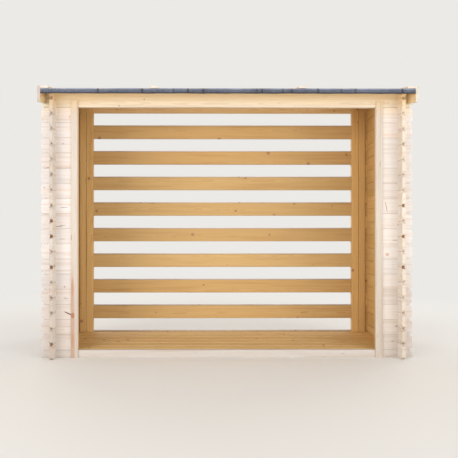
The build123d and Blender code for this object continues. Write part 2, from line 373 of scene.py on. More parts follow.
def spruce_group():
    """Planed spruce as a node group, worked out through the solid of each board.

    Every board is cut from its own log: a random place for the pith, measured from the
    board's middle, gives each point its distance from the pith, and growth rings are
    shells of that distance, so broad faces show long arches and ends show arcs. Knots
    are spots in the plane of the face that push the rings aside.

    Inputs: position as (along, across, thick), the pitch of the boards across, the lower
    edge of the first board, the middle of the thickness and a seed. Then, each from 0 to
    1: how far the surface is end grain, how far it is inside, how dark the line between
    two boards is, the share of the knots that are there, how far the wood is sheltered
    outside, which gives it a straw colour that is partly painted shade, and how far the
    painted shade in a joint's groove shows on the ends, or -1 to leave that to chance.
    """
    numbers = ("Pitch", "First", "Middle", "Seed", "End", "Inside", "Joint", "Knots",
               "Sheltered", "Gap")
    group, given = new_group("planed_spruce", "ShaderNodeTree",
                             {"Position": "Vector", **dict.fromkeys(numbers, "Float")},
                             {"Colour": "Color", "Roughness": "Float", "Height": "Float"})
    calc = partial(maths, group)
    board = find_board(group, given)
    knot, rim, knot_distance, push = knot_spots(group, board)
    ripple = noise(group, board.position, 14.0)[0]
    radius = calc("SQRT", calc("ADD", calc("POWER", board.off_pith_across, 2.0),
                               calc("POWER", board.off_pith_deep, 2.0)))
    radius = calc("MULTIPLY_ADD", push, 1.1, radius)
    radius = calc("MULTIPLY_ADD", ripple, 0.004, radius)
    late = late_wood(group, board, radius)

    colour, fibres = clear_wood(group, board, radius, late)
    colour = draw_knots(group, board, colour, knot, rim, knot_distance)
    crack = drying_cracks(group, board, radius)
    colour = mix(group, calc("MULTIPLY", crack, 0.75), colour, "7a5533")
    colour = draw_joints(group, board, colour, ripple)
    rough = calc("MULTIPLY_ADD", board.end, 0.16, calc("MULTIPLY_ADD", late, -0.08, 0.66))
    height = calc("MULTIPLY_ADD", late, 0.35, calc("MULTIPLY", fibres, 0.5))
    height = calc("MULTIPLY_ADD", crack, -1.2, height)
    height = calc("MULTIPLY_ADD", knot, 0.3, height)
    add_node(group, "NodeGroupOutput", colour, rough, height)
    return group


planed_spruce = spruce_group()


def placed_mark():
    """One listed mark on a board, as a node group: the place is moved to the mark's
    middle, turned and divided by its half length and half width, and the distance from
    the middle then runs from full inside to none at the rim."""
    group, given = new_group("placed_mark", "ShaderNodeTree",
                             {"Position": "Vector", "Middle": "Vector", "Tilt": "Float",
                              "Size": "Vector"}, {"Amount": "Float", "Rim": "Float"})
    place, middle, tilt, size = given[:4]
    wobble = vectors(group, "SUBTRACT", noise(group, place, 160.0, 1.0)[1], (0.5, 0.5, 0.5))
    wobble = vectors(group, "MULTIPLY", wobble, (0.003, 0.003, 0.003))
    moved = vectors(group, "ADD", vectors(group, "SUBTRACT", place, middle), wobble)
    turned = add_node(group, "ShaderNodeVectorRotate", moved, None, None, tilt,
                      rotation_type="Z_AXIS", invert=True).outputs[0]
    flat = vectors(group, "MULTIPLY", vectors(group, "DIVIDE", turned, size), (1.0, 1.0, 0.0))
    distance = vectors(group, "LENGTH", flat)
    off_rim = maths(group, "ABSOLUTE", maths(group, "SUBTRACT", distance, 0.9))
    add_node(group, "NodeGroupOutput", ease(group, distance, 1.15, 0.7),
             ease(group, off_rim, 0.25, 0.0))
    return group


hand_mark = placed_mark()
POST_X = 1.2175
INNER_BATTEN_X = 1.249
OUTER_BATTEN_X = 1.312
BATTEN_SEAM_X = (INNER_BATTEN_X + OUTER_BATTEN_X) / 2
# What a mark looks like: its colour, the colour of its rim, and how strong each is
MARK_KINDS = {
    "knot": ("a3866b", "755a44", 0.75, 0.5),
    "faint_knot": ("c8b29c", "b39a82", 0.6, 0.3),
    "red_knot": ("a96d48", "8a5232", 0.9, 0.4),
    "pink_knot": ("cc9f82", "b98a6b", 0.8, 0.3),
    "crack": ("4f3626", "4f3626", 0.9, 0.0),
    "heart": ("b5876a", "b5876a", 0.55, 0.0),
    "pith": ("b5a780", "b5a780", 0.5, 0.0),
    "resin": ("937250", "937250", 0.75, 0.0),
    "seam": ("5f3f22", "5f3f22", 0.75, 0.0),
}

# Marks seen in the photograph: the place along the grain and across it, half length and half
# width in metres, tilt in degrees, and kind
LEFT_FRONT_MARKS = (
    (-1.257, 1.922, 0.010, 0.008, 0, "faint_knot"),
    (-1.308, 1.706, 0.006, 0.004, 0, "knot"),
    (-1.346, 1.047, 0.034, 0.0022, 0, "crack"),
    (-1.316, 1.055, 0.028, 0.0016, 4, "crack"),
    (-1.243, 0.944, 0.008, 0.005, 0, "faint_knot"),
    (-1.297, 0.565, 0.006, 0.007, 0, "knot"),
    (-1.268, 0.352, 0.040, 0.0055, -24, "crack"),
    (-1.311, 0.222, 0.010, 0.005, 0, "faint_knot"),
    (-1.429, 1.516, 0.005, 0.004, 0, "knot"),
    (-1.458, 1.356, 0.006, 0.005, 0, "knot"),
)
RIGHT_FRONT_MARKS = (
    (1.275, 1.205, 0.047, 0.0034, -80, "resin"),
    (1.283, 0.822, 0.015, 0.012, 0, "pink_knot"),
    (1.357, 0.248, 0.011, 0.006, 0, "knot"),
    (1.326, 0.128, 0.011, 0.004, 0, "knot"),
)
LINTEL_MARKS = (
    (-0.662, 2.061, 0.006, 0.006, 0, "knot"),
    (-0.863, 2.011, 0.006, 0.006, 0, "knot"),
    (0.542, 2.009, 0.005, 0.005, 0, "faint_knot"),
    (0.779, 2.085, 0.030, 0.003, 0, "faint_knot"),
)
POST_MARKS = (
    (0.13, -1.2310, 0.60, 0.019, 0, "heart"),
    (0.56, -1.2315, 0.08, 0.012, 0, "heart"),
    (0.338, -1.2295, 0.022, 0.014, 0, "red_knot"),
    (0.14, -1.2310, 0.06, 0.011, 0, "heart"),
    (0.62, 1.2275, 0.75, 0.003, 0, "pith"),
)
REAR_TOP_MARKS = (
    (1.055, 2.142, 0.006, 0.011, 0, "knot"),
    (-0.999, 2.150, 0.006, 0.006, 0, "knot"),
)
REAR_MARKS = (
    (0.812, 1.902, 0.013, 0.010, 0, "faint_knot"),
    (0.744, 1.969, 0.006, 0.005, 0, "knot"),
)
BATTEN_MARKS = (
    (1.1, -BATTEN_SEAM_X, 1.2, 0.0016, 0, "seam"),
    (1.1, BATTEN_SEAM_X, 1.2, 0.0020, 0, "seam"),
    (2.031, 1.272, 0.008, 0.006, 0, "knot"),
)


# How far the painted shade in the groove of each joint shows on the log ends, from the
# ground up: well, a little or hardly
GAP_SHADES = {"w": "fafafa", "l": "9c9c9c", "h": "606060"}
LEFT_GAPS = "hwlllhwhwwlhlhhhhl"
RIGHT_GAPS = "hlllhhwhwhwhhhlhhl"

# Where the light reaches: no deeper than the inner faces, less close under the roof, and
# little on log ends that look inwards. Close under the roof the straw colour is partly painted
# shade of the eave; the lowest outside boards grow darker and greyer towards the ground,
# painted shade where the light fades low down, with some rain splash
INNER_X = SIDE_WALL_X - BOARD_THICKNESS / 2 + JOINT_DEPTH
INNER_Y = END_WALL_Y - BOARD_THICKNESS / 2 + JOINT_DEPTH
ROOF_SHADE = 0.22
TUCKED_SHELTER = 0.15
LOW_SHADE_TOP = 1.1
LOW_SHADE_STRENGTH = 0.3
AXIS = {"x": 0, "y": 1, "z": 2}


def light_reach(tree, x, y, z, facing_x, shelter, straw_and_painted_light):
    """How far a point is inside, how far it is sheltered outside, and whether it is tucked
    behind a corner; shelter and fresh are as in spruce."""
    calc = partial(maths, tree)
    tucked = calc("LESS_THAN", calc("MULTIPLY", facing_x, calc("SIGN", x)), -0.5)
    if shelter is None:
        inside = calc("MULTIPLY", calc("LESS_THAN", calc("ABSOLUTE", x), INNER_X),
                      calc("LESS_THAN", calc("ABSOLUTE", y), INNER_Y))
        past_wall = calc("GREATER_THAN", calc("ABSOLUTE", y), END_WALL_Y)
        tucked = calc("MULTIPLY", tucked, past_wall)
        roof_plane = calc("MULTIPLY_ADD", y, ROOF_SLOPE, ROOF_PLANE_Z - ROOF_PLANE_Y * ROOF_SLOPE)
        # How far the straw colour reaches below the roof: partly unbleached wood, partly painted
        # shade of the eave
        under_roof = ease(tree, calc("SUBTRACT", roof_plane, z), ROOF_SHADE, 0.0, 0.0, 0.95)
        sheltered = calc("MAXIMUM", calc("MULTIPLY", under_roof, calc("SUBTRACT", 1.0, inside)),
                         calc("MULTIPLY", tucked, TUCKED_SHELTER))
    else:
        inside = shelter
        sheltered = tucked
    return inside, calc("MAXIMUM", sheltered, calc("MULTIPLY", inside, straw_and_painted_light)), tucked


def groove_shades(tree, z, pitch, gaps):
    """How far the painted shade in the groove of each joint shows, from a letter for each one
    from the ground up, or -1 where there are no letters."""
    if not gaps:
        return -1.0
    rows = maths(tree, "MULTIPLY_ADD", z, 1 / (pitch * len(gaps)), 0.5 / len(gaps))
    return ramp(tree, rows, [(number / len(gaps), GAP_SHADES[letter])
                             for number, letter in enumerate(gaps)], "CONSTANT")


def draw_marks(tree, colour, position, marks):
    """Lay listed marks over a colour."""
    for along, across, half_length, half_width, tilt, kind in marks:
        fill, rim, fill_strength, rim_strength = MARK_KINDS[kind]
        mark = add_node(tree, "ShaderNodeGroup", position, (along, across, 0),
                        math.radians(tilt), (half_length, half_width, 1),
                        node_tree=hand_mark).outputs
        colour = mix(tree, maths(tree, "MULTIPLY", mark[0], fill_strength), colour, fill)
        colour = mix(tree, maths(tree, "MULTIPLY", mark[1], rim_strength), colour, rim)
    return colour


def spruce(name, grain, seed, sloped=False, shelter=None, straw_and_painted_light=0.0, joint=0.5, knots=0.8,
           tint="ffffff", marks=(), gaps=""):
    """Planed spruce. grain holds the axes, such as "xzy", with the fibres along the first
    and boards side by side along the second, then the pitch of the boards, the lower edge
    of the first one and the middle of the thickness. sloped turns the grain to the roof.
    shelter is how honey-coloured it is: 0 in the open, 1 out of the light, or None where
    that is worked out from the place, as inside the walls, close under the roof, where the
    straw colour is partly painted shade, and on faces tucked behind a corner, which take
    neither the tint nor the painted darkening towards the ground. fresh is how yellow it
    still is inside, which on the top rear plank is painted light against the lintel's shade,
    joint how dark the line between boards is, knots the share of the knots that are there,
    and tint a colour to multiply by, which on the left side and the left barge board is
    painted shade. marks are listed, each at a place along and across the boards. gaps has
    a letter for each joint, or is empty where chance decides."""
    axes, pitch, first, middle = grain
    material, tree, shader = new_material(name)
    calc = partial(maths, tree)
    place = own_place(tree)
    x, y, z = split(tree, place)
    if sloped:
        place = add_node(tree, "ShaderNodeMapping", place, None, (-ROOF_ANGLE, 0, 0)).outputs[0]
    parts = split(tree, place)
    position = join(tree, *(parts[AXIS[axis]] for axis in axes))
    facing = split(tree, add_node(tree, "ShaderNodeNewGeometry").outputs[1])
    end = remap(tree, calc("ABSOLUTE", facing[AXIS[axes[0]]]), 0.3, 0.6)
    edge_on = calc("GREATER_THAN", calc("ABSOLUTE", facing[AXIS[axes[1]]]), 0.9)
    line = calc("MULTIPLY_ADD", edge_on, -joint, joint)
    inside, sheltered, tucked = light_reach(tree, x, y, z, facing[0], shelter, straw_and_painted_light)
    gap = groove_shades(tree, z, pitch, gaps)
    wood = add_node(tree, "ShaderNodeGroup", position, pitch, first, middle, seed, end, inside,
                    line, knots, sheltered, gap, node_tree=planed_spruce).outputs
    tinted_and_low_shaded = calc("SUBTRACT", 1.0, tucked)
    colour = mix(tree, tinted_and_low_shaded, wood[0], tint, "MULTIPLY")
    # Darker and greyer towards the ground: painted shade where the light fades low down, with some
    # rain splash
    low_shade_and_splash = calc("MULTIPLY", ease(tree, z, LOW_SHADE_TOP, 0.0, 0.0, LOW_SHADE_STRENGTH),
                    calc("MULTIPLY", calc("SUBTRACT", 1.0, inside), tinted_and_low_shaded))
    colour = draw_marks(tree, mix(tree, low_shade_and_splash, colour, "9c8b7c"), position, marks)
    dress(tree, shader, {"Base Color": colour, "Roughness": wood[1],
                         "Normal": bump(tree, wood[2], 0.35, 0.0006),
                         "IOR": 1.45, "Specular IOR Level": 0.35})
    return material


def mineral_felt():
    """Bitumen roofing felt with a slate-grey mineral face: grit about a millimetre wide,
    bare black bitumen between and worn paler patches. The bend at each eave has a painted
    highlight, the cut edges are darker, partly as bare bitumen and partly as painted shade,
    and the creases are painted dark as shade."""
    material, tree, shader = new_material("mineral_felt")
    place = own_place(tree)
    grit = add_node(tree, "ShaderNodeTexVoronoi", place, None, 620.0).outputs
    clouds = noise(tree, place, 5.0, 5.0, 0.6)[0]
    crease, bend, cut_edge_and_shade = (
        add_node(tree, "ShaderNodeAttribute", attribute_name=word).outputs[2]
        for word in ("crease", "bend", "cut_edge_and_shade"))
    grit_colour = ramp(tree, split_colour(tree, grit[1])[0],
                       [(0.0, "3b404d"), (0.35, "585f71"), (0.7, "777f94"), (1.0, "9aa2b6")])
    bare = maths(tree, "MULTIPLY", remap(tree, grit[0], 0.45, 0.75), 0.6)
    colour = mix(tree, bare, grit_colour, "2b2c30")
    tone = ramp(tree, clouds, [(0.3, "c4c4c8"), (0.55, "f2f2f4"), (0.75, "ffffff")])
    colour = mix(tree, 1.0, colour, tone, "MULTIPLY")
    # Painted highlight on the bend at each eave, stronger in patches
    bend = maths(tree, "MULTIPLY", bend, maths(tree, "MULTIPLY_ADD", clouds, 1.6, -0.2))
    colour = mix(tree, maths(tree, "MULTIPLY", bend, 0.95), colour, "c6cddd")
    # Darker cut edges: bare bitumen, and painted shade along the lower edge of the drop
    colour = mix(tree, maths(tree, "MULTIPLY", cut_edge_and_shade, 0.9), colour, "292a2f")
    # Creases painted dark: painted shade in the folds
    colour = mix(tree, maths(tree, "MULTIPLY", crease, 0.9), colour, "222328")
    height = maths(tree, "SUBTRACT", 1.0, grit[0])
    dress(tree, shader, {"Base Color": colour, "Normal": bump(tree, height, 0.6, 0.0008),
                         "Roughness": 0.86})
    return material


def coated_steel(name, speck, dark, pale, metallic, roughness):
    """The coating of screws and nails: specks of the given number to the metre, from a dark
    to a pale shade of it."""
    material, tree, shader = new_material(name)
    specks = noise(tree, own_place(tree), speck)[0]
    dress(tree, shader, {"Base Color": ramp(tree, specks, [(0.3, dark), (0.7, pale)]),
                         "Metallic": metallic, "Roughness": roughness})
    return material


felt = mineral_felt()
# Zinc-plated screw steel, tumbled: dull silver with faint yellow passivation
zinc = coated_steel("zinc_plated_steel", 300.0, "a8a294", "c9c6be", 1.0, 0.42)
# Galvanised nail heads gone dull grey in the weather
galvanised = coated_steel("dull_galvanised_steel", 240.0, "55585e", "777a80", 0.5, 0.62)

# Places that the finishes share, in metres; slope heights are measured square to the roof
ROOF_BASE = ROOF_PLANE_Z * math.cos(ROOF_ANGLE) - ROOF_PLANE_Y * math.sin(ROOF_ANGLE)
BARGE_X = ROOF_HALF_WIDTH + BARGE_THICKNESS / 2
BATTEN_FACE_Y = END_WALL_Y - BOARD_THICKNESS / 2 - REAR_BATTEN_THICKNESS
REAR_BATTENS_Y = BATTEN_FACE_Y + REAR_BATTEN_THICKNESS / 2
SLAT_SPACING = 0.1126
SLATS_FRONT_Y = -0.3368
BEARER_SPACING = 0.67075

# Grain axes, pitch of the boards, lower edge of the first, and middle of the thickness
LEFT_SIDE = ("yzx", BOARD_PITCH, 0.0, -SIDE_WALL_X)
RIGHT_SIDE = ("yzx", BOARD_PITCH, 0.0, SIDE_WALL_X)
FRONT = ("xzy", BOARD_PITCH, SILL_HEIGHT, -END_WALL_Y)
REAR = ("xzy", BOARD_PITCH, SILL_HEIGHT, END_WALL_Y)
POSTS = ("zxy", 2 * POST_X, 0.0, -END_WALL_Y)

# Each spruce: its grain, the CAD pieces that it finishes, and how it looks. A board that
# lies alone gets a pitch wider than itself
SPRUCES = {
    # The left side's darker tint is painted shade: it is made darker than the right side
    "spruce_left_side": (LEFT_SIDE, (
        "left_wall_odd_boards", "left_wall_even_boards",
        "left_gable_lower_board", "left_gable_upper_board"),
                         {"tint": "e4e5e8", "gaps": LEFT_GAPS}),
    "spruce_right_side": (RIGHT_SIDE, (
        "right_wall_odd_boards", "right_wall_even_boards",
        "right_gable_lower_board", "right_gable_upper_board"),
                          {"tint": "fdfcf8", "gaps": RIGHT_GAPS}),
    "spruce_left_front": (FRONT, ("left_front_odd_boards", "left_front_even_boards"),
                          {"joint": 0.3, "knots": 0.0, "tint": "fdfdff", "marks": LEFT_FRONT_MARKS}),
    "spruce_right_front": (FRONT, ("right_front_odd_boards", "right_front_even_boards"),
                           {"joint": 0.3, "knots": 0.0, "marks": RIGHT_FRONT_MARKS}),
    "spruce_sill": (FRONT, ("front_sill",), {"knots": 0.0, "tint": "f7fcff"}),
    "spruce_lintel": (FRONT, ("front_lintel",),
                      {"knots": 0.0, "tint": "eff3f7", "marks": LINTEL_MARKS}),
    "spruce_rear": (REAR, ("rear_planks", "rear_sill", "left_rear_fillers"),
                    {"joint": 0.3, "knots": 0.6, "tint": "f1f1f3", "marks": REAR_MARKS}),
    # Half the straw colour on its inner face, paler than the honey inside: painted light against the
    # lintel's shade
    "spruce_rear_top": (REAR, ("rear_top_plank",),
                        {"joint": 0.3, "straw_and_painted_light": 0.5, "knots": 0.0, "marks": REAR_TOP_MARKS}),
    "spruce_rear_right": (REAR, ("right_rear_fillers",), {"joint": 0.3}),
    "spruce_left_post": (POSTS, ("left_post",),
                         {"knots": 0.0, "tint": "ede8e1", "marks": POST_MARKS}),
    "spruce_right_post": (POSTS, ("right_post",),
                          {"knots": 0.0, "tint": "e4e0d9", "marks": POST_MARKS}),
    "spruce_inner_battens": (("zxy", 2 * INNER_BATTEN_X, 0.0, REAR_BATTENS_Y),
                             ("rear_inner_battens",), {"marks": BATTEN_MARKS}),
    "spruce_outer_battens": (("zxy", 2 * OUTER_BATTEN_X, 0.0, REAR_BATTENS_Y),
                             ("rear_outer_battens",), {"marks": BATTEN_MARKS}),
    "spruce_roof_boards": (("yxz", ROOF_BOARD, -ROOF_HALF_WIDTH,
                            ROOF_BASE + ROOF_BOARD_THICKNESS / 2),
                           ("roof_odd_boards", "roof_even_boards"),
                           {"sloped": True, "shelter": 1.0}),
    "spruce_laths": (("xyz", 1.0, -0.667, ROOF_BASE - 0.006),
                     ("front_eave_lath", "rear_eave_lath"), {"sloped": True, "shelter": 0.8}),
    "spruce_roof_battens": (("yxz", 0.9, -1.8, ROOF_BASE + 0.030), ("roof_battens",),
                            {"sloped": True, "shelter": 0.0}),
    # The left barge board's darker tint is painted shade, darker than the right one
    "spruce_left_barge": (("yzx", 0.3, ROOF_BASE - 0.174, -BARGE_X), ("left_barge_board",),
                          {"sloped": True, "shelter": 0.0, "tint": "dddbdf"}),
    "spruce_right_barge": (("yzx", 0.3, ROOF_BASE - 0.174, BARGE_X), ("right_barge_board",),
                           {"sloped": True, "shelter": 0.0, "tint": "edf3f6"}),
    "spruce_slats": (("xyz", SLAT_SPACING, SLATS_FRONT_Y, BEARER_HEIGHT + SLAT_THICKNESS / 2),
                     ("floor_slats",), {}),
    "spruce_bearers": (("yxz", BEARER_SPACING, -2.5 * BEARER_SPACING, BEARER_HEIGHT / 2),
                       ("floor_bearers",), {}),
}


CREASE_ANGLE = math.radians(35)
TONGUE_ZONE = 0.35 * BOARD_THICKNESS


def long_edges(name, grain, tongued):
    """Marks the edges that a moulding plane would chamfer, as geometry nodes: outward edges
    that run with the grain and turn by more than the crease angle. tongued leaves out
    those near the middle of the thickness, on tongues and in grooves."""
    axes, middle = grain[0], grain[3]
    group, given = new_group(name, "GeometryNodeTree", {"Geometry": "Geometry"},
                             {"Geometry": "Geometry"})
    calc = partial(maths, group)
    start, end = add_node(group, "GeometryNodeInputMeshEdgeVertices").outputs[2:4]
    run = split(group, vectors(group, "NORMALIZE", vectors(group, "SUBTRACT", start, end)))
    with_grain = calc("GREATER_THAN", calc("ABSOLUTE", run[AXIS[axes[0]]]), 0.9)
    angle = add_node(group, "GeometryNodeInputMeshEdgeAngle").outputs[1]
    marked = calc("MULTIPLY", with_grain, calc("GREATER_THAN", angle, CREASE_ANGLE))
    if tongued:
        depth = calc("ABSOLUTE", calc("SUBTRACT", split(group, start)[AXIS[axes[2]]], middle))
        marked = calc("MULTIPLY", marked, calc("GREATER_THAN", depth, TONGUE_ZONE))
    store = add_node(group, "GeometryNodeStoreNamedAttribute", given[0], None,
                     "bevel_weight_edge", marked, data_type="FLOAT", domain="EDGE")
    add_node(group, "NodeGroupOutput", store.outputs[0])
    return group


def chamfer_edges(piece, width, edges):
    """Join the loose triangles of a CAD piece, merge flat ones and cut small chamfers on
    the edges that the node group marks, so that two boards meet in a V. These are
    modifiers, and the mesh itself stays as it is."""
    weld = piece.modifiers.new("weld", "WELD")
    weld.merge_threshold = 0.00005
    flat = piece.modifiers.new("merge_flat", "DECIMATE")
    flat.decimate_type = "DISSOLVE"
    flat.angle_limit = math.radians(1)
    piece.modifiers.new("long_edges", "NODES").node_group = edges
    chamfer = piece.modifiers.new("chamfer", "BEVEL")
    chamfer.width = width
    chamfer.segments = 1
    chamfer.limit_method = "WEIGHT"
    chamfer.use_clamp_overlap = False


WALLS = (LEFT_SIDE, RIGHT_SIDE, FRONT)
CHAMFERS = dict.fromkeys(WALLS, WALL_CHAMFER)
for number, (name, (grain, pieces, looks)) in enumerate(SPRUCES.items()):
    finish = spruce(name, grain, 3.0 + 1.7 * number, **looks)
    chamfer = ROOF_BATTEN_CHAMFER if name == "spruce_roof_battens" else EDGE_CHAMFER
    edges = long_edges(f"{name}_long_edges", grain, grain in (*WALLS, REAR))
    for piece_name in pieces:
        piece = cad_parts[piece_name]
        piece.data.materials.clear()
        piece.data.materials.append(finish)
        chamfer_edges(piece, CHAMFERS.get(grain, chamfer), edges)


def quads(rows, columns, closed=False):
    """Four-cornered faces of a grid whose points are numbered row by row; closed joins
    the last column to the first."""
    row, column = np.meshgrid(np.arange(rows - 1),
                              np.arange(columns if closed else columns - 1), indexing="ij")
    following = (column + 1) % columns
    faces = (row * columns + column, row * columns + following,
             (row + 1) * columns + following, (row + 1) * columns + column)
    return np.stack(faces, axis=-1).reshape(-1, 4)


def link_new(name, data):
    """An object at the origin with the given mesh, lamp or camera, in the scene."""
    made = bpy.data.objects.new(name, data)
    bpy.context.scene.collection.objects.link(made)
    return made


def mesh_object(name, points, faces, material):
    """An object with a mesh from lists of points and faces."""
    mesh = bpy.data.meshes.new(name)
    mesh.from_pydata(points, [], faces)
    mesh.materials.append(material)
    return link_new(name, mesh)


def make_piece(name, points, faces, material):
    """A mesh piece that rides on the body, from an array of points and a list of faces."""
    piece = mesh_object(name, points.reshape(-1, 3).tolist(), faces, material)
    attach(piece, "root")
    return piece


def smoothstep(value, low, high):
    """0 below low, 1 above high and a smooth S between."""
    share = np.clip((value - low) / (high - low), 0, 1)
    return share * share * (3 - 2 * share)


def roof_height(y, above=0.0):
    """Height at y of the plane that lies `above` over the underside of the roof boards."""
    return ROOF_PLANE_Z + (y - ROOF_PLANE_Y) * ROOF_SLOPE + above / math.cos(ROOF_ANGLE)


# Felt, in metres: one sheet's thickness, how far it stops short of the roof's edge, the drop
# and the bend at an eave, the lap of the two courses, how far from a batten's middle it is
# pressed down and how far it is loose, the height of its waves, how its lap steps up,
# curls and dips, and its creases
FELT_SHEET = 0.002
FELT_TOP = ROOF_BOARD_THICKNESS + 2 * FELT_SHEET
EAVE_GAP = 0.0015
FELT_DROP = 0.042
FELT_BEND = 0.012
FELT_LAP = 0.08
FELT_FRONT_REACH = 0.60
PRESSED = 0.033
LOOSE = 0.13
WAVE_HEIGHT = 0.0012
EAVE_WAVE_HEIGHT = 0.0007
RAGGED_EDGE = 0.0012
LAP_STEP = 0.02
LAP_CURL = 0.0016
LAP_DIP = 0.0022
CREASE_WIDTH = 0.006
CREASE_DEPTH = 0.0011
FOLD_DEPTH = 0.0005
ROOF_BATTENS_X = (-1.412, -0.570, 0.570, 1.412)
FRONT_CREASES_X = (-1.00, -0.66, -0.42, -0.31, -0.19, 0.22, 0.26, 0.42, 0.49, 0.69, 0.87,
                   0.98, 1.34)
REAR_CREASES_X = (-1.21, -0.83, -0.37, -0.12, 0.31, 0.64, 1.05)


def felt_section(s, drop, bend_end, turn, facing):
    """The section of a course: a plumb drop, an arc of a quarter turn less or more the
    roof's slope, and a straight run. A point at distance s along it is the drop's
    direction times the lesser of s and the drop, plus the arc's sine and one-minus-cosine,
    plus the run's direction times what is left of s. Returns y and z from the lower end,
    and y and z of the outward normal."""
    turned = np.clip((s - drop) / FELT_BEND, 0, turn)
    on_run = np.maximum(s - bend_end, 0)
    y = -facing * (FELT_BEND * (1 - np.cos(turned)) + math.sin(turn) * on_run)
    z = np.minimum(s, drop) + FELT_BEND * np.sin(turned) + math.cos(turn) * on_run
    return y, z, facing * np.cos(turned), np.sin(turned)


def felt_relief(x, s, bend_end, run_left, facing, lapped_over):
    """How far the outer face of a course is off its section, how thick the course is, and
    how far a point is on the roof. Slow crossed waves vanish under the battens; the lap of
    the upper course curls up a little, and the lower course dips and thins beneath it."""
    pressed = np.prod([smoothstep(abs(x - batten), PRESSED, LOOSE) for batten in ROOF_BATTENS_X],
                      axis=0)
    on_roof = smoothstep(s, bend_end, bend_end + 0.03)
    waves = 0.5 + 0.25 * np.sin(x * 10.3 + 3.0 * s) + 0.25 * np.sin(x * 23.1 - 9.0 * s + facing)
    eave_waves = 0.5 + 0.5 * np.sin(x * 17.3 + facing)
    lift = WAVE_HEIGHT * pressed * waves * on_roof - EAVE_WAVE_HEIGHT * eave_waves * (1 - on_roof)
    off_lap = smoothstep(run_left, FELT_LAP, FELT_LAP + LAP_STEP)
    if lapped_over:
        lift = lift + LAP_CURL * pressed * (1 - smoothstep(run_left, LAP_STEP, 0.10))
    else:
        lift = lift * off_lap - LAP_DIP * (1 - off_lap)
    return lift, FELT_SHEET + FELT_SHEET * on_roof * off_lap, on_roof


def felt_creases(x, s, drop, bend_end, creases):
    """Narrow dents at the creases, each with a fold beside it, which fade up the roof.
    Returns how far they press the face in, and how far a point is in a crease, which the
    felt paints dark as shade."""
    depth = np.zeros_like(x)
    folds = np.zeros_like(x)
    for number, crease in enumerate(creases):
        strength = 0.75 + 0.25 * math.sin(number * 2.3)
        depth = depth + strength * np.exp(-((x - crease) / CREASE_WIDTH) ** 2)
        folds = folds + strength * np.exp(-((x - crease - 2 * CREASE_WIDTH) / 0.010) ** 2)
    fold_fade = 1 - smoothstep(s, drop, bend_end + 0.05)
    fade = 1 - smoothstep(s, drop, bend_end + 0.11)
    return (FOLD_DEPTH * folds * fold_fade + CREASE_DEPTH * depth * fade,
            np.minimum(1.5 * depth, 1) * fade)


def closed_sheet(outer, inner):
    """Points and faces of a sheet between two grids of points: the two make one closed loop
    across each row, and two strips close the ends."""
    loop = np.concatenate([outer, inner[:, ::-1]], axis=1)
    rows, columns = loop.shape[:2]
    walls = quads(rows, columns, closed=True)
    rise = np.arange(columns // 2 - 1)
    cap = np.stack([rise, rise + 1, columns - 2 - rise, columns - 1 - rise], axis=-1)
    return loop, np.concatenate([walls, cap, cap[:, ::-1] + (rows - 1) * columns])


def felt_course(name, facing, creases, reach, lapped_over):
    """One strip of felt, from an eave up or down the roof; facing is -1 in front, 1 behind.

    Its points are a grid of places x along the eave and distances s along the section. The
    outer face is the section moved along its own normal by the relief and the creases; the
    inner face lies a felt's thickness behind. The lower edge is a little ragged.
    """
    turn = math.pi / 2 + facing * ROOF_ANGLE
    eave_y = (ROOF_REAR_Y if facing > 0 else ROOF_FRONT_Y) - facing * EAVE_GAP
    lower_end = roof_height(eave_y, FELT_TOP) - FELT_DROP
    drop = FELT_DROP - FELT_BEND * math.tan(turn / 2)
    bend_end = drop + FELT_BEND * turn
    end = bend_end + reach - FELT_BEND * math.tan(turn / 2)
    coarse = np.linspace(-ROOF_HALF_WIDTH, ROOF_HALF_WIDTH, 241)
    near = np.array([-14, -10, -7, -5, -3, -1.5, 0, 1.5, 3, 5, 7, 10, 14]) / 1000
    fine = (np.array(creases)[:, None] + near).ravel()
    x = np.unique(np.concatenate([coarse, fine]).round(5))[:, None]
    s = np.concatenate([np.linspace(0, drop, 8)[:-1], np.linspace(drop, bend_end, 8)[:-1],
                        np.linspace(bend_end, end, 44)])[None, :]

    y, z, normal_y, normal_z = felt_section(s, drop, bend_end, turn, facing)
    lift, thickness, on_roof = felt_relief(x, s, bend_end, end - s, facing, lapped_over)
    dents, crease_shade = felt_creases(x, s, drop, bend_end, creases)
    ragged = np.sin(x * 9.1 + 1) * np.sin(x * 23.0) * smoothstep(drop - s, 0, drop)
    middle = np.stack(np.broadcast_arrays(x, eave_y + y, lower_end + z + RAGGED_EDGE * ragged),
                      axis=-1)
    normal = np.stack(np.broadcast_arrays(np.zeros_like(x), normal_y, normal_z), axis=-1)
    lift = (lift - dents)[..., None]
    outer = middle + normal * lift
    inner = middle + normal * (np.minimum(lift, 0) * (1 - on_roof[..., None])
                               - np.broadcast_to(thickness, middle.shape[:2])[..., None])
    points, faces = closed_sheet(outer, inner)
    if facing < 0:
        faces = faces[:, ::-1]
    piece = make_piece(name, points, faces.tolist(), felt)

    # Where the painted highlight on the bend at the eave lies
    bend_highlight = smoothstep(s, drop - 0.004, drop + 0.008) * (
        1 - smoothstep(s, bend_end, bend_end + 0.02))
    # The cut edges are darkened: bare bitumen, and painted shade along the lower edge of the drop
    cut_edge_and_shade = 1 - smoothstep(np.minimum(s, end - s), 0.006, 0.014)
    for word, amount in (("crease", crease_shade), ("bend", bend_highlight), ("cut_edge_and_shade", cut_edge_and_shade)):
        amount = np.broadcast_to(amount, middle.shape[:2])
        amount = np.concatenate([amount, amount[:, ::-1]], axis=1)
        attribute = piece.data.attributes.new(word, "FLOAT", "POINT")
        attribute.data.foreach_set("value", amount.ravel().astype(np.float32))
    piece.data.shade_smooth()
    edge = piece.modifiers.new("crisp_edges", "EDGE_SPLIT")
    edge.split_angle = math.radians(50)
    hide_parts("roof_felt")


